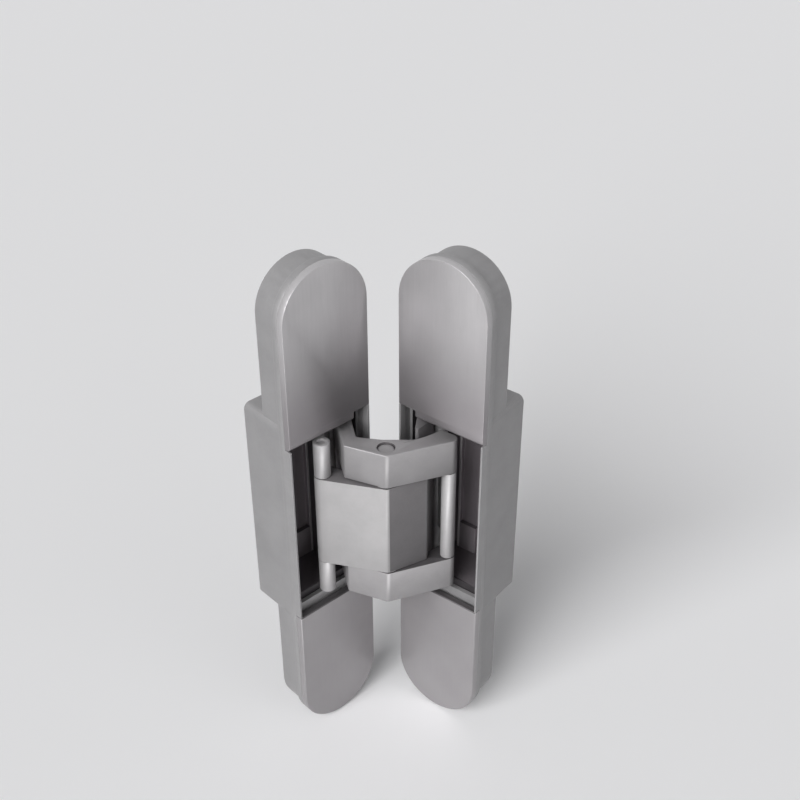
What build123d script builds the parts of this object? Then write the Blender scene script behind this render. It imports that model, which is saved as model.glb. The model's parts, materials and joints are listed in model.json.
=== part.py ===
from build123d import *
import os
from math import asin, atan2, cos, hypot, radians, sin, sqrt

# Concealed hinge for a flush door, shown about 99 degrees open.
# Two mirrored cases sit in the edges of the frame and the door. Two chevron
# arms cross on a centre pin. Each arm turns on a fixed pin in its own case,
# and its other end carries a rod that a short swing link ties to the opposite
# case. Seven upright pivots in all.
# Origin: middle of the frame plate's face. X runs across that plate, with the
# door gap towards -X. Y goes into the frame. Z is up.

# Plates and covers
plate_width = 28.0
plate_length = 157.0
cover_thickness = 2.2
flange_thickness = 2.2
cover_edge_break = 0.3
cover_brow_radius = 1.2
upper_cover_edge = 28.0
notch_edge = 31.0
notch_width = 5.6
lower_cover_edge = 31.5
cover_gap = 0.2
clip_width = 4.0
clip_thickness = 1.6
clip_length = 3.6
clip_lead_in = 0.4
clip_offset = 8.5
clip_height = 56.0
clip_clearance = 0.1

# Case behind the plate
window_height = 58.0
rim_thickness = 0.5
lobe_inset = 0.8
lobe_depth = 12.0
wall_inset = 0.1
wall_thickness = 1.2
end_wall = 1.5
well_depth = 18.5
corner_radius = 2.0

# Carrier that holds the pivot pins inside the case
carrier_clearance = 0.2
cheek_thickness = 6.0
back_web = 1.2
side_web = 0.65
side_web_front = 3.2
pad_rise = 1.4
pad_width = 5.8
pad_top = 17.0
rib_thickness = 0.8
rib_offset = 4.3

# Fixing, clamping and height adjustment
screw_hole_radius = 2.6
screw_sink_radius = 4.8
outer_screw_height = 70.0
inner_screw_height = 59.0
tab_width = 13.0
tab_thickness = 3.0
tab_end = 54.0
clamp_radius = 2.0
clamp_head_radius = 3.7
clamp_head_height = 2.0
clamp_seat = 4.6
clamp_height = 40.5
clamp_travel = 2.4
cam_radius = 2.8
cam_height = 50.0
cam_throw = 0.6
cam_pin_radius = 1.3
cam_recess = 0.5
socket_size = 2.5
socket_depth = 1.3
screw_clearance = 0.1

# Opening as shown, and where the pivots stand
rest_opening = 99.14
edge_to_valley = 5.4
pin_to_valley = 17.35
arm_pin_inset = 4.0
arm_pin_depth = 7.2
rod_inset = 16.8
rod_depth = 0.8
link_pin_inset = 5.687
link_pin_depth = 11.875
loose_eye_inset = 5.85
loose_eye_depth = 12.38
loose_eye_play = 0.95

# Pins and running fits
centre_pin_radius = 2.45
arm_pin_radius = 1.4
rod_radius = 1.3
rod_stub = 0.2
rod_cover = 1.2
rod_sink = 0.9
link_pin_radius = 1.25
pin_clearance = 0.05
pin_chamfer = 0.25
pin_bearing = 4.5

# Arms
arm_half_height = 26.0
inner_half_height = 14.75
arm_gap = 0.5
knuckle_radius = 2.25
outer_end_radius = 2.1
inner_end_radius = 2.4
nose = 4.2
outer_nose_radius = 2.2
inner_nose_radius = 1.2
shoulder_reach = 11.4
shoulder_rise = 1.3
shoulder_radius = 0.8
crook_reach = 8.0
crook_rise = 5.4
crook_radius = 1.2
waist_reach = 0.9
waist_rise = 3.8
bow_start = 7.4
bow_rise = 3.4
bow_sag = 0.6
horn_back = 4.3
horn_side = 2.2
horn_radius = 0.4
ear_tip_reach = 8.0
ear_tip_rise = 6.9
ear_tip_radius = 0.6
ear_side_reach = 11.6
ear_side_rise = 11.0
edge_break = 0.2
washer_radius = 3.5
washer_play = 0.1
spacer_radius = 2.2

# Swing links
frame_sleeve_radius = 2.05
door_sleeve_radius = 2.35
link_barrel_radius = 2.1
link_web = 2.4
link_bow = 1.0
side_play = 0.6
sleeve_play = 0.3

# Heights and depths that follow
plate_half = plate_width / 2
window_half = plate_half - rim_thickness
outer_half = plate_half - wall_inset
inner_half = outer_half - wall_thickness
seat_depth = cover_thickness + flange_thickness
upper_arm_low = inner_half_height + arm_gap
cheek_inner = arm_half_height + side_play
cheek_outer = cheek_inner + cheek_thickness
well_half_height = cheek_outer + carrier_clearance
case_half_height = well_half_height + end_wall
case_back = well_depth + back_web
pin_half = cheek_inner + pin_bearing
link_half = arm_half_height + rod_stub
outer_rod_half = arm_half_height - rod_cover
inner_rod_half = link_half - rod_sink

# Plan of the mechanism
half_opening = radians(rest_opening / 2)
lean_sin = sin(half_opening)
lean_cos = cos(half_opening)
valley_x = -plate_half - edge_to_valley
centre = (valley_x + pin_to_valley * lean_cos, -pin_to_valley * lean_sin)
arm_pin = (arm_pin_inset - plate_half, arm_pin_depth)
rod = (rod_inset - plate_half, rod_depth)
link_pin = (link_pin_inset - plate_half, link_pin_depth)
loose_eye = (loose_eye_inset - plate_half, loose_eye_depth)
bisector = Plane(origin=(valley_x, 0, 0), z_dir=(lean_sin, lean_cos, 0))


def at_depth(depth):
    """Sketch plane parallel to the frame plate's face, seen from the front."""
    return Plane.XZ.offset(-depth)


def at_height(height):
    """Level sketch plane in the part's own frame."""
    return Plane.XY.offset(height)


def on_arm(height):
    """Level sketch plane at the centre pin, with x along the arms to the right."""
    return Plane(origin=(*centre, height), x_dir=(lean_sin, lean_cos, 0), z_dir=(0, 0, 1))


def from_centre(point):
    """A plan point measured from the centre pin along the arms."""
    across = point[0] - centre[0]
    deeper = point[1] - centre[1]
    return (across * lean_sin + deeper * lean_cos, deeper * lean_sin - across * lean_cos)


def touch(point, middle, radius, side):
    """Where a line from a point touches a circle, on its left (1) or right (-1)."""
    away = hypot(middle[0] - point[0], middle[1] - point[1])
    turn = atan2(middle[1] - point[1], middle[0] - point[0]) + side * asin(radius / away)
    length = sqrt(away**2 - radius**2)
    return (point[0] + length * cos(turn), point[1] + length * sin(turn))


def cover_blank():
    """Full stadium plate over the case, before it is cut to one end."""
    with BuildPart() as blank:
        with BuildSketch(at_depth(0)):
            SlotOverall(plate_length, plate_width, rotation=90)
        extrude(amount=-cover_thickness)
        with BuildSketch(at_depth(cover_thickness)):
            with GridLocations(2 * clip_offset, 2 * clip_height, 2, 2):
                Rectangle(clip_width, clip_thickness)
        extrude(amount=-clip_length)
        chamfer(blank.faces().group_by(Axis.Y)[-1].edges(), clip_lead_in)
    return blank.part


def make_cover_upper():
    """Upper cover, stepped at the door edge, with a rounded brow over the arms."""
    with BuildPart() as cover:
        add(cover_blank())
        with BuildSketch(at_depth(0)):
            with Locations((0, upper_cover_edge)):
                Rectangle(plate_width, plate_length, align=(Align.CENTER, Align.MAX))
            with Locations((-plate_half, notch_edge)):
                Rectangle(notch_width, plate_length, align=(Align.MIN, Align.MAX))
        extrude(amount=-cover_thickness - clip_length, mode=Mode.SUBTRACT)
        brow = cover.faces().sort_by(Axis.Y)[0].edges().filter_by(Axis.X).sort_by(Axis.Z)[0]
        fillet(brow, cover_brow_radius)
    return cover.part


def make_cover_lower():
    """Lower cover with a straight upper edge."""
    with BuildPart() as cover:
        add(cover_blank())
        with BuildSketch(at_depth(0)):
            with Locations((0, -lower_cover_edge)):
                Rectangle(plate_width, plate_length, align=(Align.CENTER, Align.MIN))
        extrude(amount=-cover_thickness - clip_length, mode=Mode.SUBTRACT)
        chamfer(cover.faces().sort_by(Axis.Y)[0].edges(), cover_edge_break)
    return cover.part


def make_case():
    """Die-cast case: flange, two solid lobes and a walled well open at the back."""
    clip_slot = (clip_width + 2 * clip_clearance, clip_thickness + 2 * clip_clearance)
    cam_bore = cam_radius + screw_clearance
    with BuildPart() as case:
        with BuildSketch(at_depth(cover_thickness)):
            SlotOverall(plate_length, plate_width, rotation=90)
        extrude(amount=-flange_thickness)
        with BuildSketch(at_depth(seat_depth)):
            SlotOverall(plate_length - 2 * lobe_inset, plate_width - 2 * lobe_inset, rotation=90)
        extrude(amount=seat_depth - lobe_depth)
        with BuildSketch(at_depth(seat_depth)):
            RectangleRounded(2 * outer_half, 2 * case_half_height, corner_radius)
        extrude(amount=seat_depth - case_back)

        # Thin rims that stand beside the opening, flush with the covers
        rim_foot = cover_gap - lower_cover_edge
        with BuildSketch(at_depth(0)):
            with Locations((plate_half, rim_foot)):
                rim_rise = upper_cover_edge - cover_gap - rim_foot
                Rectangle(rim_thickness, rim_rise, align=(Align.MAX, Align.MIN))
            with Locations((-plate_half, rim_foot)):
                rim_rise = notch_edge - cover_gap - rim_foot
                Rectangle(rim_thickness, rim_rise, align=(Align.MIN, Align.MIN))
        extrude(amount=-cover_thickness)

        # Window through the flange, and the well behind it
        with BuildSketch(at_depth(cover_thickness)):
            Rectangle(2 * window_half, window_height)
        extrude(amount=-flange_thickness, mode=Mode.SUBTRACT)
        with BuildSketch(at_depth(seat_depth)):
            Rectangle(2 * inner_half, 2 * well_half_height)
        extrude(amount=seat_depth - case_back, mode=Mode.SUBTRACT)

        # Ways through the end walls for the carrier's tabs
        with BuildSketch(at_depth(lobe_depth)):
            Rectangle(tab_width + 2 * carrier_clearance, 2 * case_half_height)
        extrude(amount=lobe_depth - case_back, mode=Mode.SUBTRACT)

        # Head pockets and slots for the clamp screws
        with BuildSketch(at_depth(cover_thickness)):
            with Locations((0, clamp_height), (0, -clamp_height)):
                SlotCenterToCenter(clamp_travel, 2 * (clamp_head_radius + screw_clearance), rotation=90)
        extrude(amount=-clamp_seat, mode=Mode.SUBTRACT)
        with BuildSketch(at_depth(cover_thickness)):
            with Locations((0, clamp_height), (0, -clamp_height)):
                SlotCenterToCenter(clamp_travel, 2 * (clamp_radius + screw_clearance), rotation=90)
        extrude(amount=cover_thickness - lobe_depth, mode=Mode.SUBTRACT)

        # Bores for the height cams, and blind slots for the covers' clips
        with BuildSketch(at_depth(cover_thickness)):
            with Locations((0, cam_height), (0, -cam_height)):
                Circle(cam_bore)
        extrude(amount=cover_thickness - lobe_depth, mode=Mode.SUBTRACT)
        with BuildSketch(at_depth(cover_thickness)):
            with GridLocations(2 * clip_offset, 2 * clip_height, 2, 2):
                Rectangle(*clip_slot)
        extrude(amount=-clip_length - clip_clearance, mode=Mode.SUBTRACT)

        # Countersunk holes for four fixing screws
        with Locations(at_depth(cover_thickness)):
            with GridLocations(0, 2 * outer_screw_height, 1, 2):
                CounterSinkHole(screw_hole_radius, screw_sink_radius)
            with GridLocations(0, 2 * inner_screw_height, 1, 2):
                CounterSinkHole(screw_hole_radius, screw_sink_radius)
    return case.part


def make_carrier():
    """Channel that fills the well from behind and holds both pivot pins."""
    half_width = inner_half - carrier_clearance
    front = seat_depth + carrier_clearance
    proud_height = window_height - 2 * carrier_clearance
    with BuildPart() as carrier:
        with BuildSketch(at_depth(front)):
            Rectangle(2 * half_width, 2 * cheek_outer)
            Rectangle(2 * half_width, 2 * cheek_inner, mode=Mode.SUBTRACT)
        extrude(amount=front - case_back)
        with BuildSketch(at_depth(well_depth)):
            Rectangle(2 * half_width, 2 * cheek_outer)
        extrude(amount=-back_web)
        with BuildSketch(at_depth(front)):
            with Locations((half_width, 0)):
                Rectangle(side_web, 2 * cheek_outer, align=(Align.MAX, Align.CENTER))
        extrude(amount=front - case_back)
        with BuildSketch(at_depth(side_web_front)):
            with Locations((half_width, 0)):
                Rectangle(side_web, proud_height, align=(Align.MAX, Align.CENTER))
        extrude(amount=side_web_front - case_back)

        # Raised pad low on the back, with a full-height rib beside it
        with BuildSketch(at_depth(well_depth)):
            with Locations((-rib_offset, -pad_top)):
                Rectangle(pad_width, cheek_inner - pad_top, align=(Align.MIN, Align.MAX))
            with Locations((-rib_offset, 0)):
                Rectangle(rib_thickness, 2 * cheek_inner, align=(Align.MAX, Align.CENTER))
        extrude(amount=pad_rise)

        # Tabs behind the lobes, tapped for the clamp and slotted for the cam
        with BuildSketch(at_depth(lobe_depth)):
            Rectangle(tab_width, 2 * tab_end)
            Rectangle(tab_width, 2 * cheek_inner, mode=Mode.SUBTRACT)
            with Locations((0, clamp_height), (0, -clamp_height)):
                Circle(clamp_radius + pin_clearance, mode=Mode.SUBTRACT)
            with Locations((0, cam_height), (0, -cam_height)):
                SlotCenterToCenter(2 * cam_throw, 2 * (cam_pin_radius + pin_clearance), mode=Mode.SUBTRACT)
        extrude(amount=-tab_thickness)

        # Bore for the arm's pin, and the roomy eye for the link's pin
        with BuildSketch(at_height(-cheek_outer)):
            with Locations(arm_pin):
                Circle(arm_pin_radius + pin_clearance)
            with Locations(loose_eye):
                Circle(link_pin_radius + loose_eye_play)
        extrude(amount=2 * cheek_outer, mode=Mode.SUBTRACT)
    return carrier.part


def make_clamp_screws():
    """Two pan-head screws that clamp the carrier's tabs against the case."""
    head_seat = cover_thickness + clamp_seat
    shank_end = lobe_depth + tab_thickness
    with BuildPart() as screws:
        with BuildSketch(at_depth(head_seat - clamp_head_height)):
            with Locations((0, clamp_height), (0, -clamp_height)):
                Circle(clamp_head_radius)
        extrude(amount=-clamp_head_height)
        with BuildSketch(at_depth(head_seat)):
            with Locations((0, clamp_height), (0, -clamp_height)):
                Circle(clamp_radius)
        extrude(amount=head_seat - shank_end)
        with BuildSketch(at_depth(head_seat - clamp_head_height)):
            with Locations((0, clamp_height), (0, -clamp_height)):
                RegularPolygon(socket_size / 2, 6, major_radius=False)
        extrude(amount=-socket_depth, mode=Mode.SUBTRACT)
    return screws.part


def make_height_cams():
    """Two eccentrics, each a disc in the lobe with an offset pin in the tab's slot."""
    cam_front = cover_thickness + cam_recess
    with BuildPart() as cams:
        with BuildSketch(at_depth(cam_front)):
            with Locations((0, cam_height), (0, -cam_height)):
                Circle(cam_radius)
        extrude(amount=cam_front - lobe_depth)
        with BuildSketch(at_depth(lobe_depth)):
            with Locations((cam_throw, cam_height), (cam_throw, -cam_height)):
                Circle(cam_pin_radius)
        extrude(amount=-tab_thickness)
        with BuildSketch(at_depth(cam_front)):
            with Locations((0, cam_height), (0, -cam_height)):
                RegularPolygon(socket_size / 2, 6, major_radius=False)
        extrude(amount=-socket_depth, mode=Mode.SUBTRACT)
    return cams.part


def make_pin(place, radius, half_height):
    """Plain round pin, the same length above and below the middle."""
    with BuildPart() as pin:
        with BuildSketch(at_height(-half_height)):
            with Locations(place):
                Circle(radius)
        extrude(amount=2 * half_height)
    return pin.part


def make_rod(place, radius, half_height):
    """Pin with its ends in view, so both have a chamfer."""
    with BuildPart() as rod_pin:
        add(make_pin(place, radius, half_height))
        chamfer(rod_pin.edges().filter_by(GeomType.CIRCLE), pin_chamfer)
    return rod_pin.part


def arm_outline(end_radius, nose_radius):
    """Chevron seen from above the centre pin, with its rod end to the right."""
    pin_at = from_centre(arm_pin)
    pin_at = (-pin_at[0], pin_at[1])
    rod_at = from_centre(rod)
    tip = (0, -nose)
    shoulder = (-shoulder_reach, shoulder_rise)
    crook = (-crook_reach, crook_rise)
    waist = (-waist_reach, waist_rise)
    bow = (bow_start, bow_rise)
    horn = (rod_at[0] - horn_side, rod_at[1] + horn_back)
    with BuildSketch() as outline:
        with BuildLine():
            Polyline(
                bow,
                waist,
                crook,
                touch(crook, pin_at, knuckle_radius, -1),
                touch(shoulder, pin_at, knuckle_radius, 1),
                shoulder,
                tip,
                touch(tip, rod_at, end_radius, -1),
                touch(horn, rod_at, end_radius, 1),
                horn,
            )
            SagittaArc(bow, horn, -bow_sag)
        make_face()
        fillet(outline.vertices().sort_by_distance(tip)[0], nose_radius)
        fillet(outline.vertices().sort_by_distance(shoulder)[0], shoulder_radius)
        fillet(outline.vertices().sort_by_distance(crook)[0], crook_radius)
        fillet(outline.vertices().sort_by_distance(horn)[0], horn_radius)
        with Locations(pin_at):
            Circle(knuckle_radius)
        with Locations(rod_at):
            Circle(end_radius)
        Circle(centre_pin_radius + pin_clearance, mode=Mode.SUBTRACT)
        with Locations(pin_at):
            Circle(arm_pin_radius + pin_clearance, mode=Mode.SUBTRACT)
    return outline.sketch


def ear_outline():
    """Lug of the inner arm about its fixed pin, which runs the full height."""
    pin_at = from_centre(arm_pin)
    tip = (ear_tip_reach, ear_tip_rise)
    side = (ear_side_reach, ear_side_rise)
    with BuildSketch() as outline:
        with BuildLine():
            Polyline(
                tip,
                side,
                touch(side, pin_at, knuckle_radius, -1),
                touch(tip, pin_at, knuckle_radius, 1),
                close=True,
            )
        make_face()
        fillet(outline.vertices().sort_by_distance(tip)[0], ear_tip_radius)
        with Locations(pin_at):
            Circle(knuckle_radius)
            Circle(arm_pin_radius + pin_clearance, mode=Mode.SUBTRACT)
    return outline.sketch


def make_outer_arm():
    """Upper one of the two thick plates that straddle the inner arm."""
    profile = arm_outline(outer_end_radius, outer_nose_radius)
    with BuildPart() as arm:
        with BuildSketch(on_arm(upper_arm_low)):
            add(profile)
        extrude(amount=arm_half_height - upper_arm_low)
        chamfer(arm.faces().sort_by(Axis.Z)[-1].outer_wire().edges(), edge_break)

        # Blind bore for the end of the rod
        with BuildSketch(at_height(upper_arm_low)):
            with Locations(rod):
                Circle(rod_radius + pin_clearance)
        extrude(amount=outer_rod_half + pin_clearance - upper_arm_low, mode=Mode.SUBTRACT)
    return arm.part


def make_inner_arm():
    """Middle arm, mirrored from the outer ones, with its full-height ear."""
    profile = mirror(arm_outline(inner_end_radius, inner_nose_radius), about=Plane.YZ)
    rod_at = from_centre(rod)
    ear = ear_outline()
    with BuildPart() as arm:
        with BuildSketch(on_arm(-inner_half_height)):
            add(profile)
        extrude(amount=2 * inner_half_height)
        for foot in (-arm_half_height, inner_half_height):
            with BuildSketch(on_arm(foot)):
                add(ear)
            extrude(amount=arm_half_height - inner_half_height)

        # Bore for the rod, right through
        with BuildSketch(on_arm(-inner_half_height)):
            with Locations((-rod_at[0], rod_at[1])):
                Circle(rod_radius + pin_clearance)
        extrude(amount=2 * inner_half_height, mode=Mode.SUBTRACT)
    return arm.part


def make_arm_washers():
    """Two thin washers on the centre pin, between the inner and outer arms."""
    with BuildPart() as washers:
        with BuildSketch(on_arm(inner_half_height + washer_play)):
            Circle(washer_radius)
            Circle(centre_pin_radius + pin_clearance, mode=Mode.SUBTRACT)
        extrude(amount=arm_gap - washer_play)
        mirror(about=Plane.XY)
    return washers.part


def make_spacer_sleeve():
    """Tube on the door case's arm pin that keeps the outer arms apart."""
    half_height = upper_arm_low - washer_play
    with BuildPart() as sleeve:
        with BuildSketch(at_height(-half_height)):
            with Locations(arm_pin):
                Circle(spacer_radius)
                Circle(arm_pin_radius + pin_clearance, mode=Mode.SUBTRACT)
        extrude(amount=2 * half_height)
    return sleeve.part


def make_link(sleeve_radius, spans):
    """Swing link: full-height barrel at its deep end, with a bowed web and
    a sleeve round the arm's rod in each span of height."""
    spine = SagittaArc(link_pin, rod, link_bow)
    with BuildPart() as link:
        with BuildSketch(at_height(-link_half)):
            with Locations(link_pin):
                Circle(link_barrel_radius)
        extrude(amount=2 * link_half)
        for low, high in spans:
            with BuildSketch(at_height(low)):
                SlotArc(spine, link_web)
                with Locations(rod):
                    Circle(sleeve_radius)
            extrude(amount=high - low)
        with BuildSketch(at_height(-link_half)):
            with Locations(link_pin):
                Circle(link_pin_radius + pin_clearance)
            with Locations(rod):
                Circle(rod_radius + pin_clearance)
        extrude(amount=2 * link_half, mode=Mode.SUBTRACT)
    return link.part


def save(name, part):
    """Label one piece and write it to its own file."""
    part.label = name
    export_step(part, f"parts/{name}.step")


def twin(part):
    """The same piece in the door's case, mirrored about the half-open plane."""
    return mirror(part, about=bisector)


os.makedirs("parts", exist_ok=True)

# Pieces that both cases share
shared = {
    "case": make_case(),
    "carrier": make_carrier(),
    "cover_upper": make_cover_upper(),
    "cover_lower": make_cover_lower(),
    "arm_pin": make_pin(arm_pin, arm_pin_radius, pin_half),
    "link_pin": make_pin(link_pin, link_pin_radius, pin_half),
    "clamp_screws": make_clamp_screws(),
    "height_cams": make_height_cams(),
}
for name, piece in shared.items():
    save("frame_" + name, piece)
    save("door_" + name, twin(piece))
save("door_spacer_sleeve", twin(make_spacer_sleeve()))

# Crossing arms
outer_arm = make_outer_arm()
save("outer_arm_upper", outer_arm)
save("outer_arm_lower", mirror(outer_arm, about=Plane.XY))
save("inner_arm", make_inner_arm())
save("arm_washers", make_arm_washers())
save("centre_pin", make_rod(centre, centre_pin_radius, arm_half_height))
save("outer_rod", make_rod(rod, rod_radius, outer_rod_half))
save("inner_rod", twin(make_rod(rod, rod_radius, inner_rod_half)))

# Swing links, one sleeve between the outer arms, two around the inner arm
between = upper_arm_low - sleeve_play
beyond = inner_half_height + sleeve_play
save("frame_link", make_link(frame_sleeve_radius, [(-between, between)]))
ends = [(beyond, arm_half_height), (-arm_half_height, -beyond)]
save("door_link", twin(make_link(door_sleeve_radius, ends)))
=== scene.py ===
# %% [markdown]
# # A concealed door hinge, dressed for its portrait
#
# The hinge is already built as a CAD model, in metres, and this script never moves it.
# What the script adds is everything the eye reads as "real": softened edges, satin zinc,
# turned steel, a dark bracket inside, and the light that lets them show.
# Each step is explained before its code, so the file can be read like a lesson.

# %% Load the fixed frame
import json

import bmesh
import bpy
import numpy as np
from mathutils import Matrix, Vector


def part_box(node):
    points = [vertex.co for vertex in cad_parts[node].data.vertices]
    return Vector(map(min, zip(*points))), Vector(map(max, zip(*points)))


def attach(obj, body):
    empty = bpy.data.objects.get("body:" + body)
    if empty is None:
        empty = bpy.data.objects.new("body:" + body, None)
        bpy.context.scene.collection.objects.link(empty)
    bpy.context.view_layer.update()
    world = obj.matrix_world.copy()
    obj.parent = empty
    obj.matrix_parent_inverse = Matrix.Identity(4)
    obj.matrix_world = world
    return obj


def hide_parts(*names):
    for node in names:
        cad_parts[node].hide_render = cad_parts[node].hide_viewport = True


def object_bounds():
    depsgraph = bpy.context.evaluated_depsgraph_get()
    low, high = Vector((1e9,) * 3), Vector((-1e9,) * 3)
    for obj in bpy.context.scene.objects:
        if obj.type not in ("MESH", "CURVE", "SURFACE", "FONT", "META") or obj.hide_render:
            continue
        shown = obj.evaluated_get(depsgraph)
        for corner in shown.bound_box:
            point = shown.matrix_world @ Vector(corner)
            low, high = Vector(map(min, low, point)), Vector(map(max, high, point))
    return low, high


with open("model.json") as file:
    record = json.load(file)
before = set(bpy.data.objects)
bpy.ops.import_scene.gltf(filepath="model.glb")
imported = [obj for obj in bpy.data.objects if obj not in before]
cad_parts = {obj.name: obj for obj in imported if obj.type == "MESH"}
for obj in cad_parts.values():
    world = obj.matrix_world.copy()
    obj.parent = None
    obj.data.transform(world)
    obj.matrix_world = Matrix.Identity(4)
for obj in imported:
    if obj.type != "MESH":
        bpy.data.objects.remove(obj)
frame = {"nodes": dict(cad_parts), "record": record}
cad_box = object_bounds()
nodes = frame["nodes"]
body_of_node = {n: b for b, names in frame["record"]["behaviour"]["bodies"].items() for n in names}

# %% [markdown]
# ## Camera
#
# The picture was taken from above and in front of the opened hinge, with a fairly long
# lens. Focal length, height and aim come from the outline of the two round-ended plates,
# which are equal on the real object, so any error in the view would show as a
# difference between them. The small vertical shift stands for a cropped picture. The
# camera's yaw is counted from the plane that halves the angle by which the door is open.

# %% Place the camera
HALF_OPEN_DEGREES = 49.57
FOCAL_PIXELS = 1212.738
PICTURE_PIXELS = 800.0
SENSOR_MM = 36.0
NEAREST_SEEN = 0.01
OPTICAL_AXIS_Y = 417.48
CAMERA_PLACE = Vector((0.15811, -0.21938, 0.21437))
TURN_TO_FRAME = np.radians(90.0 - HALF_OPEN_DEGREES)
YAW, PITCH, ROLL = 0.0413, 0.5937, -0.0042


def add_object(name, data):
    """New object for a mesh, lamp or camera, in the scene at the origin."""
    item = bpy.data.objects.new(name, data)
    bpy.context.scene.collection.objects.link(item)
    return item


def camera_axes():
    """Right, up and backward directions of the camera, from its yaw, pitch and roll."""
    ahead = Vector((np.sin(YAW) * np.cos(PITCH), np.cos(YAW) * np.cos(PITCH), -np.sin(PITCH)))
    right = Vector((np.cos(YAW), -np.sin(YAW), 0.0))
    up = right.cross(ahead)
    rolled_right = right * np.cos(ROLL) + up * np.sin(ROLL)
    rolled_up = up * np.cos(ROLL) - right * np.sin(ROLL)
    turn = Matrix.Rotation(TURN_TO_FRAME, 3, "Z")
    return turn @ rolled_right, turn @ rolled_up, turn @ -ahead


lens = bpy.data.cameras.new("view")
lens.sensor_width = SENSOR_MM
lens.lens = FOCAL_PIXELS / PICTURE_PIXELS * SENSOR_MM
lens.shift_y = (OPTICAL_AXIS_Y - PICTURE_PIXELS / 2) / PICTURE_PIXELS
lens.clip_start = NEAREST_SEEN
camera = add_object("view", lens)
aim = Matrix(camera_axes()).transposed()
camera.matrix_world = Matrix.Translation(CAMERA_PLACE) @ aim.to_4x4()
bpy.context.scene.camera = camera
print("camera lens mm", round(lens.lens, 2), "shift", round(lens.shift_y, 4))

# %% [markdown]
# ## Small helpers for materials
#
# A material is a graph. Writing it as `add a node, set its values, join its sockets` gets
# long, so a few helpers carry that: one adds a node with its plain values, one joins, and
# two make and place a node group, which is how one effect is shared by many materials.

# %% Node helpers


def add_node(tree, kind, values=None, **settings):
    """One shader node, with settings as attributes and values on its input sockets."""
    node = tree.nodes.new(kind)
    for name, value in settings.items():
        setattr(node, name, value)
    for socket, value in (values or {}).items():
        node.inputs[socket].default_value = value
    return node


def join(tree, start, end):
    """Link an output socket to an input socket."""
    tree.links.new(start, end)


def new_group(name, inputs, outputs):
    """Empty node group with its named sockets, and its input and output nodes."""
    group = bpy.data.node_groups.new(name, "ShaderNodeTree")
    for label, kind, value in inputs:
        socket = group.interface.new_socket(label, in_out="INPUT", socket_type=kind)
        socket.default_value = value
    for label, kind in outputs:
        group.interface.new_socket(label, in_out="OUTPUT", socket_type=kind)
    return group, group.nodes.new("NodeGroupInput"), group.nodes.new("NodeGroupOutput")


def place_group(tree, group, values):
    """The group as one node in a material, with this material's own values."""
    node = tree.nodes.new("ShaderNodeGroup")
    node.node_tree = group
    for label, value in values.items():
        node.inputs[label].default_value = value
    return node


# %% [markdown]
# ## Shared effects
#
# Four effects come back in the metals of the hinge.
#
# * **Worn edges**: plating thins and polishes on edges, so they catch light. A Bevel node
#   bends the normal near an edge, and the angle between that normal and the true one is a
#   mask that is 0 on flats and rises at edges.
# * **Grain**: a satin finish is thousands of short parallel scratches. Noise stretched
#   along one axis gives them.
# * **Cast skin**: tumbled die-cast zinc has a soft, uneven skin. Two sizes of noise give
#   its mottling and its tiny bumps.
# * **Painted shade on the covers**: the colour of the covers darkens softly towards the
#   opening just above the arms, as painted shade, and the covers below carry an even share of it.

# %% Worn edge group
FLOAT, VECTOR = "NodeSocketFloat", "NodeSocketVector"


def build_worn_edges():
    """Mask = (1 - true normal . bevelled normal) x gain, broken up by noise."""
    group, start, end = new_group(
        "worn_edges",
        [("Width", FLOAT, 0.0004), ("Gain", FLOAT, 6.0), ("Patchiness", FLOAT, 0.35)],
        [("Mask", FLOAT)],
    )
    soft = add_node(group, "ShaderNodeBevel", samples=6)
    join(group, start.outputs["Width"], soft.inputs["Radius"])
    true = add_node(group, "ShaderNodeNewGeometry")
    dot = add_node(group, "ShaderNodeVectorMath", operation="DOT_PRODUCT")
    join(group, soft.outputs["Normal"], dot.inputs[0])
    join(group, true.outputs["Normal"], dot.inputs[1])
    turned = add_node(group, "ShaderNodeMath", {0: 1.0}, operation="SUBTRACT")
    join(group, dot.outputs["Value"], turned.inputs[1])
    raised = add_node(group, "ShaderNodeMath", operation="MULTIPLY", use_clamp=True)
    join(group, turned.outputs[0], raised.inputs[0])
    join(group, start.outputs["Gain"], raised.inputs[1])
    place = add_node(group, "ShaderNodeTexCoord")
    patches = add_node(group, "ShaderNodeTexNoise", {"Scale": 900.0, "Detail": 3.0})
    join(group, place.outputs["Object"], patches.inputs["Vector"])
    less = add_node(group, "ShaderNodeMath", {0: 1.0}, operation="SUBTRACT")
    join(group, start.outputs["Patchiness"], less.inputs[1])
    weight = add_node(group, "ShaderNodeMath", operation="MULTIPLY_ADD")
    join(group, patches.outputs["Fac"], weight.inputs[0])
    join(group, start.outputs["Patchiness"], weight.inputs[1])
    join(group, less.outputs[0], weight.inputs[2])
    mask = add_node(group, "ShaderNodeMath", operation="MULTIPLY", use_clamp=True)
    join(group, raised.outputs[0], mask.inputs[0])
    join(group, weight.outputs[0], mask.inputs[1])
    join(group, mask.outputs[0], end.inputs["Mask"])
    return group


worn_edges = build_worn_edges()
print("group", worn_edges.name)


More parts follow.
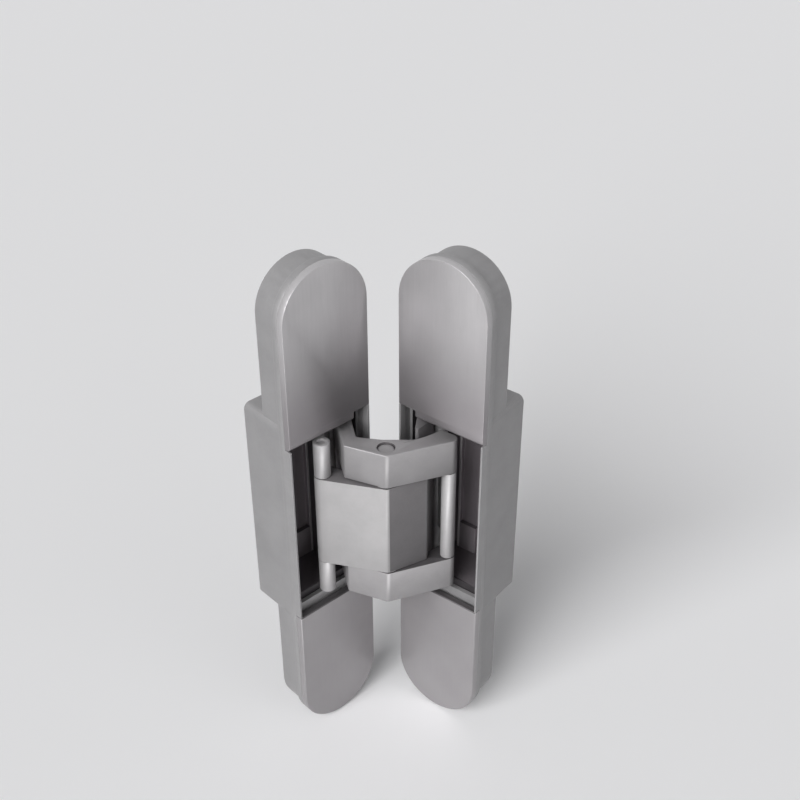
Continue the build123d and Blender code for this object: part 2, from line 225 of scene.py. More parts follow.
# %% Grain group
def build_grain():
    """Streaks = two noises on coordinates squeezed along the brushing direction."""
    group, start, end = new_group(
        "grain",
        [("Stretch", VECTOR, (9000.0, 9000.0, 320.0)), ("Spread", FLOAT, 0.35)],
        [("Streaks", FLOAT), ("Height", FLOAT)],
    )
    place = add_node(group, "ShaderNodeTexCoord")
    scaled = add_node(group, "ShaderNodeVectorMath", operation="MULTIPLY")
    join(group, place.outputs["Object"], scaled.inputs[0])
    join(group, start.outputs["Stretch"], scaled.inputs[1])
    fine = add_node(group, "ShaderNodeTexNoise", {"Scale": 1.0, "Detail": 4.0, "Roughness": 0.6})
    broad = add_node(group, "ShaderNodeTexNoise", {"Scale": 0.22, "Detail": 2.0})
    join(group, scaled.outputs[0], fine.inputs["Vector"])
    join(group, scaled.outputs[0], broad.inputs["Vector"])
    both = add_node(group, "ShaderNodeMath", operation="ADD")
    join(group, fine.outputs["Fac"], both.inputs[0])
    join(group, broad.outputs["Fac"], both.inputs[1])
    centred = add_node(group, "ShaderNodeMath", {1: 1.0}, operation="SUBTRACT")
    join(group, both.outputs[0], centred.inputs[0])
    spread = add_node(group, "ShaderNodeMath", {2: 0.5}, operation="MULTIPLY_ADD", use_clamp=True)
    join(group, centred.outputs[0], spread.inputs[0])
    join(group, start.outputs["Spread"], spread.inputs[1])
    join(group, spread.outputs[0], end.inputs["Streaks"])
    join(group, fine.outputs["Fac"], end.inputs["Height"])
    return group


grain = build_grain()
print("group", grain.name)


# %% Cast skin group
def build_cast_skin():
    """Mottle = broad noise; height = fine noise plus sparse shallow pits."""
    group, start, end = new_group(
        "cast_skin",
        [("Mottle Scale", FLOAT, 90.0), ("Skin Scale", FLOAT, 2600.0), ("Pits", FLOAT, 0.3)],
        [("Mottle", FLOAT), ("Height", FLOAT)],
    )
    place = add_node(group, "ShaderNodeTexCoord")
    broad = add_node(group, "ShaderNodeTexNoise", {"Detail": 3.0, "Roughness": 0.55})
    fine = add_node(group, "ShaderNodeTexNoise", {"Detail": 2.0, "Roughness": 0.5})
    cells = add_node(group, "ShaderNodeTexVoronoi", {"Scale": 1400.0})
    for texture in (broad, fine, cells):
        join(group, place.outputs["Object"], texture.inputs["Vector"])
    join(group, start.outputs["Mottle Scale"], broad.inputs["Scale"])
    join(group, start.outputs["Skin Scale"], fine.inputs["Scale"])
    pit = add_node(group, "ShaderNodeMapRange", {"From Max": 0.22, "To Min": -1.0, "To Max": 0.0})
    join(group, cells.outputs["Distance"], pit.inputs["Value"])
    depth = add_node(group, "ShaderNodeMath", operation="MULTIPLY_ADD")
    join(group, pit.outputs["Result"], depth.inputs[0])
    join(group, start.outputs["Pits"], depth.inputs[1])
    join(group, fine.outputs["Fac"], depth.inputs[2])
    join(group, broad.outputs["Fac"], end.inputs["Mottle"])
    join(group, depth.outputs[0], end.inputs["Height"])
    return group


cast_skin = build_cast_skin()
print("group", cast_skin.name)


# %% Cover painted shade group
def build_cover_painted_shade():
    """Painted shade mask: 1 at the shaded height, 0 at the unshaded, Shade Below under the middle;
    clouded.
    """
    group, start, end = new_group(
        "cover_painted_shade",
        [("Unshaded Height", FLOAT, 0.068), ("Shaded Height", FLOAT, 0.030), ("Shade Below", FLOAT, 0.6)],
        [("Mask", FLOAT)],
    )
    place = add_node(group, "ShaderNodeTexCoord")
    axes = add_node(group, "ShaderNodeSeparateXYZ")
    join(group, place.outputs["Object"], axes.inputs[0])
    fall = add_node(group, "ShaderNodeMapRange", interpolation_type="SMOOTHSTEP")
    join(group, axes.outputs["Z"], fall.inputs["Value"])
    join(group, start.outputs["Unshaded Height"], fall.inputs["From Min"])
    join(group, start.outputs["Shaded Height"], fall.inputs["From Max"])
    above = add_node(group, "ShaderNodeMath", {1: 0.0}, operation="GREATER_THAN")
    join(group, axes.outputs["Z"], above.inputs[0])
    kept = add_node(group, "ShaderNodeMix", data_type="FLOAT")
    join(group, above.outputs[0], kept.inputs["Factor"])
    join(group, start.outputs["Shade Below"], kept.inputs["A"])
    join(group, fall.outputs["Result"], kept.inputs["B"])
    clouds = add_node(group, "ShaderNodeTexNoise", {"Scale": 110.0, "Detail": 3.0})
    join(group, place.outputs["Object"], clouds.inputs["Vector"])
    soft = add_node(group, "ShaderNodeMapRange", {"To Min": 0.85, "To Max": 1.15})
    join(group, clouds.outputs["Fac"], soft.inputs["Value"])
    mask = add_node(group, "ShaderNodeMath", operation="MULTIPLY", use_clamp=True)
    join(group, kept.outputs["Result"], mask.inputs[0])
    join(group, soft.outputs["Result"], mask.inputs[1])
    join(group, mask.outputs[0], end.inputs["Mask"])
    return group


cover_painted_shade = build_cover_painted_shade()
print("effect groups", [g.name for g in bpy.data.node_groups])

# %% [markdown]
# ## Metals
#
# Every metal is the same small recipe with its own numbers: a mid tone, a lighter tone
# for its worn edges, a little mottling in colour and roughness, and one bump. What
# changes is the size of the pattern and how rough the surface is, and that is what tells
# plated zinc from turned steel. A satin plating scatters much of its light, so it is set
# between a plain diffuse surface and a mirror-like metal.

# %% Metal recipe
MIX_A, MIX_B, MIX_RESULT = 6, 7, 2
RAMP_ENDS = 0.34, 0.66
DARKER, LIGHTER = 0.92, 1.07
SMOOTHEST, DULLEST = 0.86, 1.16
WORN_CHANGE = -0.04


def fade_to(tree, mask, surface, tone):
    """Colour = the surface where the mask is 0, a fixed tone where it is 1."""
    mix = add_node(tree, "ShaderNodeMix", data_type="RGBA")
    join(tree, mask, mix.inputs["Factor"])
    join(tree, surface, mix.inputs[MIX_A])
    mix.inputs[MIX_B].default_value = (*tone, 1.0)
    return mix.outputs[MIX_RESULT]


def shade_tones(tree, lines, cast, tone):
    """Half streaks, half mottle, spread over three close tones of the metal."""
    halved = add_node(tree, "ShaderNodeMath", {1: 0.5}, operation="MULTIPLY")
    join(tree, cast.outputs["Mottle"], halved.inputs[0])
    shade = add_node(tree, "ShaderNodeMath", {1: 0.5}, operation="MULTIPLY_ADD")
    join(tree, lines.outputs["Streaks"], shade.inputs[0])
    join(tree, halved.outputs[0], shade.inputs[2])
    ramp = add_node(tree, "ShaderNodeValToRGB")
    ends = ramp.color_ramp.elements
    ends[0].position, ends[1].position = RAMP_ENDS
    ends[0].color = (*[c * DARKER for c in tone], 1.0)
    ends[1].color = (*[c * LIGHTER for c in tone], 1.0)
    middle = ends.new(0.5)
    middle.color = (*tone, 1.0)
    join(tree, shade.outputs[0], ramp.inputs["Fac"])
    return shade, ramp


def metal_material(
    name, tone, edge_tone, rough, metallic, streak, skin, bump_height, edge, painted_shade_tone=None
):
    """Satin metal: streaks and mottle shade a mid tone, worn edges go lighter and smoother."""
    material = bpy.data.materials.new(name)
    material.use_nodes = True
    tree = material.node_tree
    tree.nodes.clear()
    shader = add_node(tree, "ShaderNodeBsdfPrincipled", {"Metallic": metallic})
    output = add_node(tree, "ShaderNodeOutputMaterial")
    join(tree, shader.outputs["BSDF"], output.inputs["Surface"])
    lines = place_group(tree, grain, streak)
    cast = place_group(tree, cast_skin, skin)
    wear = place_group(tree, worn_edges, edge)
    shade, ramp = shade_tones(tree, lines, cast, tone)

    surface = fade_to(tree, wear.outputs["Mask"], ramp.outputs["Color"], edge_tone)
    # Painted shade: the covers darken towards the opening above the arms, and evenly below it.
    if painted_shade_tone:
        cover_shade = place_group(tree, cover_painted_shade, {})
        surface = fade_to(tree, cover_shade.outputs["Mask"], surface, painted_shade_tone)
    join(tree, surface, shader.inputs["Base Color"])

    spread = {"To Min": rough * SMOOTHEST, "To Max": rough * DULLEST}
    dull = add_node(tree, "ShaderNodeMapRange", spread)
    join(tree, shade.outputs[0], dull.inputs["Value"])
    smooth = add_node(tree, "ShaderNodeMath", {1: WORN_CHANGE}, operation="MULTIPLY_ADD")
    join(tree, wear.outputs["Mask"], smooth.inputs[0])
    join(tree, dull.outputs["Result"], smooth.inputs[2])
    join(tree, smooth.outputs[0], shader.inputs["Roughness"])

    relief = add_node(tree, "ShaderNodeMath", operation="ADD")
    join(tree, lines.outputs["Height"], relief.inputs[0])
    join(tree, cast.outputs["Height"], relief.inputs[1])
    bump = add_node(tree, "ShaderNodeBump", {"Strength": 1.0, "Distance": bump_height})
    join(tree, relief.outputs[0], bump.inputs["Height"])
    join(tree, bump.outputs["Normal"], shader.inputs["Normal"])
    return material


# %% The hinge's finishes
ZINC_STREAK = {"Stretch": (1500.0, 1500.0, 1500.0), "Spread": 0.4}
ZINC_SKIN = {"Mottle Scale": 120.0, "Skin Scale": 3200.0, "Pits": 0.15}
BRACKET_STREAK = {"Stretch": (900.0, 900.0, 900.0), "Spread": 0.6}
BRACKET_SKIN = {"Mottle Scale": 110.0, "Skin Scale": 1800.0, "Pits": 0.5}

cover_satin = metal_material(
    "cover_satin",
    tone=(0.46, 0.449, 0.457),
    edge_tone=(0.49, 0.48, 0.485),
    # Painted shade: the tone that the covers darken to above the arms.
    painted_shade_tone=(0.27, 0.254, 0.264),
    rough=0.38,
    metallic=0.6,
    streak={"Stretch": (6500.0, 6500.0, 240.0), "Spread": 0.45},
    skin={"Mottle Scale": 60.0, "Skin Scale": 2400.0, "Pits": 0.05},
    bump_height=0.000003,
    edge={"Width": 0.0003, "Gain": 4.0, "Patchiness": 0.3},
)
outer_zinc = metal_material(
    "outer_zinc",
    tone=(0.305, 0.296, 0.302),
    edge_tone=(0.36, 0.35, 0.355),
    rough=0.48,
    metallic=0.4,
    streak=ZINC_STREAK,
    skin=ZINC_SKIN,
    bump_height=0.000006,
    edge={"Width": 0.0003, "Gain": 1.5, "Patchiness": 0.5},
)
inner_zinc = metal_material(
    "inner_zinc",
    tone=(0.39, 0.382, 0.386),
    edge_tone=(0.50, 0.49, 0.495),
    rough=0.45,
    metallic=0.08,
    streak=ZINC_STREAK,
    skin=ZINC_SKIN,
    bump_height=0.000006,
    edge={"Width": 0.0004, "Gain": 3.0, "Patchiness": 0.4},
)
# Painted shade: a much darker grey for the inner arm's ends, ear and faces turned from the light.
inner_painted_shade = metal_material(
    "inner_painted_shade",
    tone=(0.15, 0.143, 0.148),
    edge_tone=(0.30, 0.29, 0.295),
    rough=0.5,
    metallic=0.1,
    streak={"Stretch": (1200.0, 1200.0, 1200.0), "Spread": 0.7},
    skin={"Mottle Scale": 90.0, "Skin Scale": 2400.0, "Pits": 0.4},
    bump_height=0.000012,
    edge={"Width": 0.0004, "Gain": 3.0, "Patchiness": 0.4},
)
case_zinc = metal_material(
    "case_zinc",
    tone=(0.31, 0.305, 0.31),
    edge_tone=(0.46, 0.455, 0.46),
    rough=0.5,
    metallic=0.4,
    streak={"Stretch": (1100.0, 1100.0, 1100.0), "Spread": 0.6},
    skin={"Mottle Scale": 80.0, "Skin Scale": 1500.0, "Pits": 0.6},
    bump_height=0.00002,
    edge={"Width": 0.0004, "Gain": 4.0, "Patchiness": 0.5},
)
bracket_dark = metal_material(
    "bracket_dark",
    tone=(0.25, 0.224, 0.242),
    edge_tone=(0.36, 0.34, 0.345),
    rough=0.46,
    metallic=0.35,
    streak={"Stretch": (900.0, 900.0, 90.0), "Spread": 1.0},
    skin=BRACKET_SKIN,
    bump_height=0.00001,
    edge={"Width": 0.0003, "Gain": 3.0, "Patchiness": 0.5},
)
# Painted shade: near black for the carrier's front edges and the walls of the case's well.
black_painted_shade = metal_material(
    "black_painted_shade",
    tone=(0.035, 0.031, 0.034),
    edge_tone=(0.14, 0.13, 0.135),
    rough=0.5,
    metallic=0.3,
    streak=BRACKET_STREAK,
    skin=BRACKET_SKIN,
    bump_height=0.00001,
    edge={"Width": 0.0003, "Gain": 2.0, "Patchiness": 0.5},
)
# Painted shade: a darker grey for the carrier's upward floor faces.
carrier_floor_painted_shade = metal_material(
    "carrier_floor_painted_shade",
    tone=(0.12, 0.108, 0.116),
    edge_tone=(0.16, 0.15, 0.155),
    rough=0.5,
    metallic=0.2,
    streak=BRACKET_STREAK,
    skin=BRACKET_SKIN,
    bump_height=0.00001,
    edge={"Width": 0.0003, "Gain": 1.0, "Patchiness": 0.5},
)
# Painted highlight: the bright front of the carrier's rib, the thin light line in each pocket.
rib_painted_highlight = metal_material(
    "rib_painted_highlight",
    tone=(0.70, 0.68, 0.69),
    edge_tone=(0.78, 0.77, 0.775),
    rough=0.34,
    metallic=0.4,
    streak={"Stretch": (900.0, 900.0, 90.0), "Spread": 0.6},
    skin={"Mottle Scale": 110.0, "Skin Scale": 1800.0, "Pits": 0.2},
    bump_height=0.000005,
    edge={"Width": 0.0002, "Gain": 2.0, "Patchiness": 0.3},
)
# Painted shade: near black for the outer arms' bore and inward faces and the lower covers' top
# edge.
dark_painted_shade = metal_material(
    "dark_painted_shade",
    tone=(0.10, 0.094, 0.098),
    edge_tone=(0.22, 0.21, 0.215),
    rough=0.5,
    metallic=0.3,
    streak={"Stretch": (300.0, 300.0, 4000.0), "Spread": 0.7},
    skin={"Mottle Scale": 110.0, "Skin Scale": 1800.0, "Pits": 0.3},
    bump_height=0.00001,
    edge={"Width": 0.0002, "Gain": 1.0, "Patchiness": 0.5},
)
turned_steel = metal_material(
    "turned_steel",
    tone=(0.43, 0.421, 0.427),
    edge_tone=(0.56, 0.55, 0.555),
    rough=0.44,
    metallic=0.25,
    streak={"Stretch": (500.0, 500.0, 9000.0), "Spread": 0.5},
    skin={"Mottle Scale": 150.0, "Skin Scale": 4000.0, "Pits": 0.05},
    bump_height=0.000003,
    edge={"Width": 0.0002, "Gain": 4.0, "Patchiness": 0.3},
)
print("finishes", [m.name for m in bpy.data.materials if m.use_nodes])

# %% [markdown]
# ## Softened edges
#
# No real casting has a perfectly sharp edge, and it is the thin highlight along an edge
# that makes metal look solid. The CAD pieces are sharp, and they are never changed. So
# each piece that shows gets a copy whose edges are rounded by a Bevel modifier: the loose
# triangles are merged, flat faces are joined again, and only edges that really turn are
# bevelled. The copy then stands for the CAD piece.

# %% Which finish each piece takes
FINISH_OF = {
    "case": case_zinc,
    "carrier": bracket_dark,
    "cover_upper": cover_satin,
    "cover_lower": cover_satin,
    "outer_arm_upper": outer_zinc,
    "outer_arm_lower": outer_zinc,
    "inner_arm": inner_zinc,
    "centre_pin": outer_zinc,
    "outer_rod": outer_zinc,
}


def plain_name(node_name):
    """A node's name without the side in front."""
    return node_name.removeprefix("frame_").removeprefix("door_")


def finish_of(node_name):
    """The finish that a node takes: turned steel where the list names no other."""
    return FINISH_OF.get(plain_name(node_name), turned_steel)


def dress(piece, material):
    """One material on all of the piece's slots, and a first slot where it has none."""
    if not piece.data.materials:
        piece.data.materials.append(material)
    for slot in piece.material_slots:
        slot.material = material


for name, node in nodes.items():
    dress(node, finish_of(name))
print("dressed", len(nodes), "nodes")

# %% [markdown]
# The door side is the frame side mirrored in the plane that halves the open angle, so a
# place on it is mirrored back before it is measured from a plate's face.

# %% Places measured from a plate's face
VALLEY_X = -0.0194
HALF_ANGLE = np.radians(HALF_OPEN_DEGREES)
MIRROR_NORMAL = Vector((np.sin(HALF_ANGLE), np.cos(HALF_ANGLE), 0.0))


def frame_place(node_name, place):
    """Where a place of a node would be on the frame side: x across, y into the wall."""
    if not node_name.startswith("door_"):
        return Vector(place)
    off = (Vector(place) - Vector((VALLEY_X, 0.0, 0.0))).dot(MIRROR_NORMAL)
    return Vector(place) - 2.0 * off * MIRROR_NORMAL


def frame_turn(node_name, direction):
    """The same for a direction; the mirror image of a mirror image is the thing itself."""
    if not node_name.startswith("door_"):
        return Vector(direction)
    return Vector(direction) - 2.0 * Vector(direction).dot(MIRROR_NORMAL) * MIRROR_NORMAL


print("mirror plane's normal", [round(share, 4) for share in MIRROR_NORMAL])


# %% Rounded copies
EDGE_ANGLE = np.radians(24.0)
FLAT_ANGLE = np.radians(0.6)
MERGE_DISTANCE = 1e-6
BEVEL_STEPS = 2
EDGE_RADIUS = {
    "case": 0.0002,
    "cover_upper": 0.0001,
    "cover_lower": 0.0001,
    "carrier": 0.00015,
    "outer_arm_upper": 0.00009,
    "outer_arm_lower": 0.00009,
    "inner_arm": 0.0002,
    "link": 0.0002,
}


def merged_copy(node_name):
    """Work mesh of a CAD piece with its corners merged and its flat faces whole."""
    work = bmesh.new()
    work.from_mesh(nodes[node_name].data)
    bmesh.ops.remove_doubles(work, verts=work.verts, dist=MERGE_DISTANCE)
    bmesh.ops.dissolve_limit(
        work,
        angle_limit=FLAT_ANGLE,
        verts=work.verts,
        edges=work.edges,
        use_dissolve_boundaries=False,
    )
    return work


def softened(node_name, radius, shape=None):
    """Copy of a CAD piece, shaped further where it needs it, with rounded edges."""
    work = merged_copy(node_name)
    if shape:
        shape(node_name, work)
    for face in work.faces:
        face.smooth = True
    mesh = bpy.data.meshes.new(node_name + "_soft")
    work.to_mesh(mesh)
    work.free()
    piece = add_object(node_name + "_soft", mesh)
    bevel = piece.modifiers.new("edges", "BEVEL")
    bevel.width = radius
    bevel.segments = BEVEL_STEPS
    bevel.limit_method = "ANGLE"
    bevel.angle_limit = EDGE_ANGLE
    bevel.harden_normals = True
    bevel.miter_outer = "MITER_ARC"
    dress(piece, finish_of(node_name))
    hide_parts(node_name)
    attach(piece, body_of_node[node_name])
    return piece


# %% [markdown]
# ### Places that need more than a rounded edge
#
# * The **upper covers** roll gently inwards over their last few millimetres, which the
#   eye reads as a soft band along the lower edge.
# * The **case** has a joint behind each lower cover, so a dark line shows on the sill. The
#   walls of its well carry painted shade, near black, and the top face of the lower cover's upper
#   edge carries painted shade too.
# * The **carrier** is dark inside. Painted shade turns its front edges black and darkens its
#   floor, and a painted highlight on its rib's front is the thin light line deep in each pocket.
# * The **inner arm** keeps its plain tone on its ridge and on the broad face that shows when
#   the door is open. Its ends, its ear and the faces towards the frame carry painted shade,
#   a much darker grey, so the ridge reads as a lighter band beside it.
# * The **outer arms** carry painted shade, near black, in the bore of the centre pin and on
#   the faces towards the inner arm.

# %% Roll of the upper covers
COVER_BACK = 0.0022
ROLL_FOOT, ROLL_TOP, ROLL_DEPTH = 0.028, 0.031, 0.00018
ROLL_CUTS = 5
NEAR_FRONT = 0.8
CUT_TOLERANCE = 1e-7


def slice_across(work, place, normal):
    """Cut every face that a plane crosses, and keep both halves."""
    parts = list(work.verts) + list(work.edges) + list(work.faces)
    bmesh.ops.bisect_plane(
        work, geom=parts, dist=CUT_TOLERANCE, plane_co=place, plane_no=normal
    )


def roll_inwards(node_name, work):
    """Depth added = ROLL_DEPTH x square of the share of the way from the roll's top to foot."""
    for height in np.linspace(ROLL_FOOT, ROLL_TOP, ROLL_CUTS + 1)[1:]:
        slice_across(work, (0.0, 0.0, height), (0.0, 0.0, 1.0))
    inwards = frame_turn(node_name, (0.0, 1.0, 0.0))
    for vert in work.verts:
        depth = frame_place(node_name, vert.co).y
        share = (ROLL_TOP - vert.co.z) / (ROLL_TOP - ROLL_FOOT)
        if share > 0.0 and depth < NEAR_FRONT * COVER_BACK:
            vert.co += inwards * ROLL_DEPTH * share * share


# %% Painted shade on the upper edge of the lower covers
UPPER_EDGE = -0.0325
FACING_PARTLY_UP, FACING_UP = 0.5, 0.9


def mark_lower_cover(node_name, work):
    """Slot 1 for painted shade on the upper edge's top face, slot 0 for the plated rest."""
    for face in work.faces:
        on_top = face.calc_center_median().z > UPPER_EDGE and face.normal.z > FACING_PARTLY_UP
        face.material_index = int(on_top)


# %% Painted shade on faces of the arms
TOWARDS_FRAME, EAR_FRONT = 0.85, -0.006
RIDGE_BACK = -0.01575
BORE_RADIUS = 0.0027
pin_low, pin_high = (Vector(corner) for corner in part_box("centre_pin"))
PIN_AXIS = (pin_low + pin_high) / 2
print("centre pin stands at", [round(share, 5) for share in PIN_AXIS])


def mark_inner_arm(node_name, work):
    """Slot 1, painted shade, for the ends and the faces towards the frame behind the ridge; slot 0
    elsewhere.
    """
    slice_across(work, (0.0, RIDGE_BACK, 0.0), (0.0, 1.0, 0.0))
    for face in work.faces:
        middle = face.calc_center_median()
        end = abs(face.normal.z) > FACING_UP
        beside_ridge = face.normal.x > TOWARDS_FRAME and middle.y > RIDGE_BACK
        face.material_index = int(end or beside_ridge or middle.y > EAR_FRONT)


def mark_outer_arm(node_name, work):
    """Slot 1, painted shade, for the pin's bore and the face against the inner arm; slot 0 for the
    rest.
    """
    for face in work.faces:
        off = face.calc_center_median() - PIN_AXIS
        in_bore = off.xy.length < BORE_RADIUS and abs(face.normal.z) < FACING_PARTLY_UP
        inwards = -face.normal.z if off.z > 0.0 else face.normal.z
        face.material_index = int(in_bore or inwards > FACING_UP)


# %% Parts of the carrier
FRONT_DEPTH = 0.006
RIB_SIDES = (-0.0051, -0.0043)
RIB_FRONT = 0.0171
ON_PLANE = 1e-5
SHADE_SLOT, RIB_HIGHLIGHT_SLOT, FLOOR_SHADE_SLOT = 1, 2, 3


def mark_carrier(node_name, work):
    """Slots for painted shade on the front edges, a painted highlight on the rib and painted shade
    on the floor.
    """
    across = frame_turn(node_name, (1.0, 0.0, 0.0))
    slice_across(work, frame_place(node_name, (RIB_SIDES[1], 0.0, 0.0)), across)
    for face in work.faces:
        place = frame_place(node_name, face.calc_center_median())
        face.material_index = 0
        if place.y < FRONT_DEPTH:
            face.material_index = SHADE_SLOT
        elif RIB_SIDES[0] < place.x < RIB_SIDES[1] and abs(place.y - RIB_FRONT) < ON_PLANE:
            face.material_index = RIB_HIGHLIGHT_SLOT
        elif face.normal.z > FACING_UP and place.z < 0.0:
            face.material_index = FLOOR_SHADE_SLOT


# %% Joint of the case, and painted shade in its well
JOINT_GAP = 0.00085
JOINT_FOOT, JOINT_TOP, JOINT_STEP = -0.0333, -0.0285, 0.00005
INSIDE_RIM = 0.01375
WELL_HALF_WIDTH, WELL_HALF_HEIGHT = 0.0131, 0.0335
WELL_FRONT, WELL_BACK = 0.0043, 0.0190


def shape_case(node_name, work):
    """The sill's front goes back by JOINT_GAP; slot 1 for painted shade on the walls of the well.
    """
    for height in (JOINT_FOOT, JOINT_FOOT + JOINT_STEP):
        slice_across(work, (0.0, 0.0, height), (0.0, 0.0, 1.0))
    inwards = frame_turn(node_name, (0.0, 1.0, 0.0))
    for vert in work.verts:
        place = frame_place(node_name, vert.co)
        on_face = abs(place.y - COVER_BACK) < ON_PLANE and abs(place.x) < INSIDE_RIM
        if on_face and JOINT_FOOT + JOINT_STEP / 2 < vert.co.z < JOINT_TOP:
            vert.co += inwards * JOINT_GAP
    for face in work.faces:
        place = frame_place(node_name, face.calc_center_median())
        inside = abs(place.x) < WELL_HALF_WIDTH and abs(place.z) < WELL_HALF_HEIGHT
        face.material_index = int(inside and WELL_FRONT < place.y < WELL_BACK)


# %% Make the copies
SHAPE_OF = {
    "cover_upper": roll_inwards,
    "cover_lower": mark_lower_cover,
    "carrier": mark_carrier,
    "case": shape_case,
    "inner_arm": mark_inner_arm,
    "outer_arm_upper": mark_outer_arm,
    "outer_arm_lower": mark_outer_arm,
}
# Extra slots hold painted shade, and on the carrier its rib's painted highlight.
MORE_FINISHES = {
    "cover_lower": (dark_painted_shade,),
    "inner_arm": (inner_painted_shade,),
    "outer_arm_upper": (dark_painted_shade,),
    "outer_arm_lower": (dark_painted_shade,),
    "carrier": (black_painted_shade, rib_painted_highlight, carrier_floor_painted_shade),
    "case": (black_painted_shade,),
}
soft_pieces = {}
for name in nodes:
    plain = plain_name(name)
    if plain in EDGE_RADIUS:
        soft_pieces[name] = softened(name, EDGE_RADIUS[plain], SHAPE_OF.get(plain))
        for material in MORE_FINISHES.get(plain, ()):
            soft_pieces[name].data.materials.append(material)
print("softened", {n: len(p.data.polygons) for n, p in soft_pieces.items()})

# %% [markdown]
# ## Centre pin
#
# The pin through the crossing of the arms was turned on a lathe. Its ends sit a little
# below the arms, with a chamfer at the rim and a shallow dish in the middle, and that is
# what draws the dark crescent in the picture. A plain cylinder can't show it, so the pin
# is made again as one profile carried round the axis.

# %% Turned pin
PIN_RADIUS = 0.00245
PIN_SUNK = 0.0005
ROUND_STEPS = 96
SHARP_ANGLE = np.radians(40.0)
DISH = (0.0, -0.00012), (0.0009, -0.00010), (0.0013, -0.00002)
RIM = (0.0015, 0.0), (0.0019, 0.0)
CHAMFER = (0.0021, -0.00003), (0.00225, -0.00013), (PIN_RADIUS, -0.00035)


def pin_profile(half):
    """Radius and height: dish, rim and chamfer of the top, then the same upside down."""
    upper = np.array(DISH + RIM + CHAMFER) + (0.0, half - PIN_SUNK)
    return np.vstack([upper, (upper * (1.0, -1.0))[::-1]])


def turned_solid(name, axis, profile):
    """Point(i, j) = axis + radius_i x (cos a_j, sin a_j), height_i; one point at each pole."""
    angles = np.arange(ROUND_STEPS) * 2.0 * np.pi / ROUND_STEPS
    rings = profile[1:-1]
    around = np.stack([np.cos(angles), np.sin(angles)], axis=1)
    flat = rings[:, None, :1] * around[None, :, :] + np.array(axis[:2])
    tall = np.broadcast_to(rings[:, None, 1:] + axis[2], (len(rings), ROUND_STEPS, 1))
    points = np.concatenate([flat, tall], axis=2).reshape(-1, 3)
    poles = [(axis[0], axis[1], axis[2] + profile[end, 1]) for end in (0, -1)]
    points = np.vstack([poles[0], points, poles[1]])
    here = np.arange(ROUND_STEPS)
    beside = (here + 1) % ROUND_STEPS
    rows = 1 + np.arange(len(rings) - 1)[:, None] * ROUND_STEPS
    below = rows + ROUND_STEPS
    quads = np.stack([rows + here, below + here, below + beside, rows + beside], axis=2)
    cap = np.stack([np.zeros_like(here), 1 + here, 1 + beside], axis=1)
    last = len(points) - 1
    ring = last - ROUND_STEPS
    foot = np.stack([np.full_like(here, last), ring + beside, ring + here], axis=1)
    faces = cap.tolist() + quads.reshape(-1, 4).tolist() + foot.tolist()
    mesh = bpy.data.meshes.new(name)
    mesh.from_pydata(points.tolist(), [], faces)
    mesh.polygons.foreach_set("use_smooth", np.ones(len(mesh.polygons), dtype=bool))
    mesh.set_sharp_from_angle(angle=SHARP_ANGLE)
    return add_object(name, mesh)


turned_pin = turned_solid("centre_pin_turned", PIN_AXIS, pin_profile(pin_high.z))
dress(turned_pin, outer_zinc)
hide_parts("centre_pin")
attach(turned_pin, body_of_node["centre_pin"])
print("centre pin faces", len(turned_pin.data.polygons))

# %% [markdown]
# ## Floor, backdrop and light
#
# The hinge stands on a pale floor in a pale room. The camera, and mirror-like metal, see
# that floor and room through the Light Path node, so a white background doesn't need more
# lamp power. The lamps themselves stay plain: a broad key from above and in front of the
# frame plate, a weaker fill that faces the door plate, and a low softbox near the camera.
# The softbox shows only in reflections, as the bright line down an upright edge or pin.

# %% Floor and world
FLOOR_DROP = 0.0004
FLOOR_HALF_WIDTH = 30.0
FLOOR_ROUGHNESS = 0.8
FLOOR_LIT, FLOOR_SEEN = (0.50, 0.50, 0.505, 1.0), (0.90, 0.90, 0.91, 1.0)
ROOM_TONE = (0.97, 0.97, 0.98, 1.0)


def seen_directly(tree):
    """1 for rays from the camera and those that metal or glass sends on, 0 for soft ones."""
    rays = add_node(tree, "ShaderNodeLightPath")
    direct = add_node(tree, "ShaderNodeMath", operation="MAXIMUM")
    join(tree, rays.outputs["Is Camera Ray"], direct.inputs[0])
    join(tree, rays.outputs["Is Glossy Ray"], direct.inputs[1])
    through = add_node(tree, "ShaderNodeMath", operation="MAXIMUM")
    join(tree, direct.outputs[0], through.inputs[0])
    join(tree, rays.outputs["Is Transmission Ray"], through.inputs[1])
    return through.outputs[0]


def pale_floor():
    """Square floor under the hinge, larger than the camera can see."""
    half = FLOOR_HALF_WIDTH
    low = cad_box[0][2] - FLOOR_DROP
    corners = [(-half, -half, low), (half, -half, low), (half, half, low), (-half, half, low)]
    mesh = bpy.data.meshes.new("floor")
    mesh.from_pydata(corners, [], [(0, 1, 2, 3)])
    floor = add_object("floor", mesh)
    material = bpy.data.materials.new("pale_floor")
    material.use_nodes = True
    tree = material.node_tree
    shader = tree.nodes["Principled BSDF"]
    shader.inputs["Roughness"].default_value = FLOOR_ROUGHNESS
    tones = {MIX_A: FLOOR_LIT, MIX_B: FLOOR_SEEN}
    shade = add_node(tree, "ShaderNodeMix", tones, data_type="RGBA")
    join(tree, seen_directly(tree), shade.inputs["Factor"])
    join(tree, shade.outputs[MIX_RESULT], shader.inputs["Base Color"])
    mesh.materials.append(material)
    print("floor at height", round(low, 5))


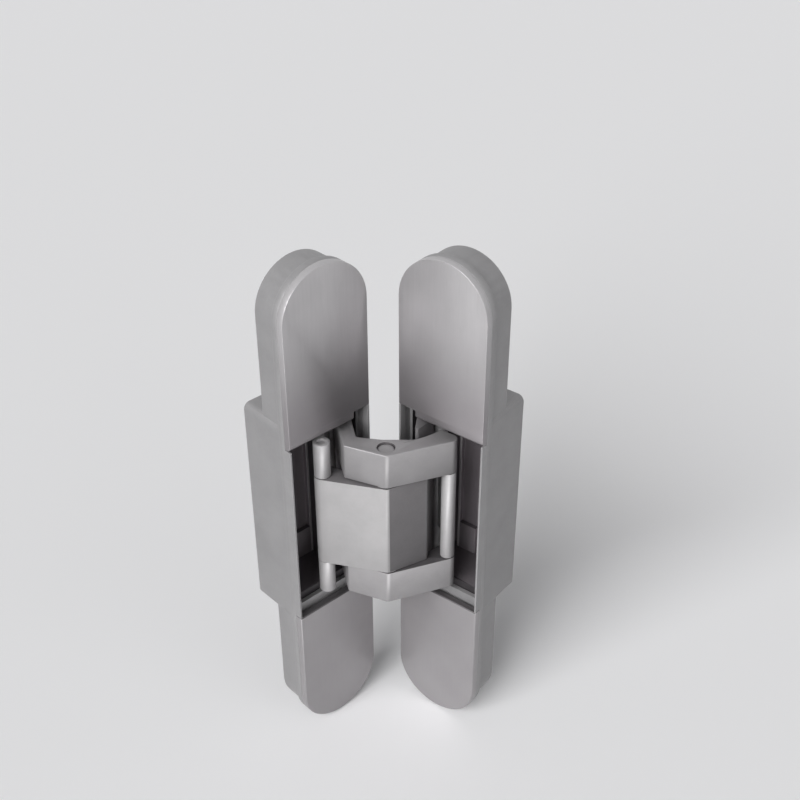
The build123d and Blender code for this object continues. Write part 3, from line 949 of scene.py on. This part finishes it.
def pale_world(lit, seen):
    """World that lights at one strength and shows the camera and metal another."""
    world = bpy.data.worlds.new("room")
    bpy.context.scene.world = world
    world.use_nodes = True
    tree = world.node_tree
    background = tree.nodes["Background"]
    background.inputs["Color"].default_value = ROOM_TONE
    strength = add_node(tree, "ShaderNodeMapRange", {"To Min": lit, "To Max": seen})
    join(tree, seen_directly(tree), strength.inputs["Value"])
    join(tree, strength.outputs["Result"], background.inputs["Strength"])


pale_floor()
pale_world(lit=0.24, seen=0.9)

# %% Lamps
LAMP_AIM = Vector((-0.01, -0.006, 0.0))


def compass(turn_deg, rise_deg):
    """Direction to a lamp: turn 0 is straight in front of the frame plate, 90 is along +X."""
    turn, rise = np.radians(turn_deg), np.radians(rise_deg)
    return Vector((np.sin(turn) * np.cos(rise), -np.cos(turn) * np.cos(rise), np.sin(rise)))


def soft_sun(name, turn_deg, rise_deg, spread_deg, strength):
    """Broad even light from one direction, as from a large window."""
    light = bpy.data.lights.new(name, "SUN")
    light.angle = np.radians(spread_deg)
    light.energy = strength
    direction = compass(turn_deg, rise_deg)
    lamp = add_object(name, light)
    lamp.matrix_world = direction.to_track_quat("Z", "Y").to_matrix().to_4x4()


def softbox(name, turn_deg, rise_deg, away, width, height, power):
    """Rectangular lamp that faces the hinge."""
    light = bpy.data.lights.new(name, "AREA")
    light.shape = "RECTANGLE"
    light.size = width
    light.size_y = height
    light.energy = power
    direction = compass(turn_deg, rise_deg)
    facing = direction.to_track_quat("Z", "Y").to_matrix().to_4x4()
    lamp = add_object(name, light)
    lamp.matrix_world = Matrix.Translation(LAMP_AIM + direction * away) @ facing
    return lamp


soft_sun("key", turn_deg=3.0, rise_deg=31.0, spread_deg=44.0, strength=3.1)
soft_sun("fill", turn_deg=84.0, rise_deg=20.0, spread_deg=50.0, strength=0.28)
strip = softbox(
    "low_strip", turn_deg=36.0, rise_deg=-30.0, away=0.14, width=0.07, height=0.10, power=0.16
)
strip.visible_diffuse = False
print("lamps", {light.name: round(light.energy, 2) for light in bpy.data.lights})

# %% Keep the view plain
bpy.context.scene.view_settings.view_transform = "Standard"
print("view transform", bpy.context.scene.view_settings.view_transform)
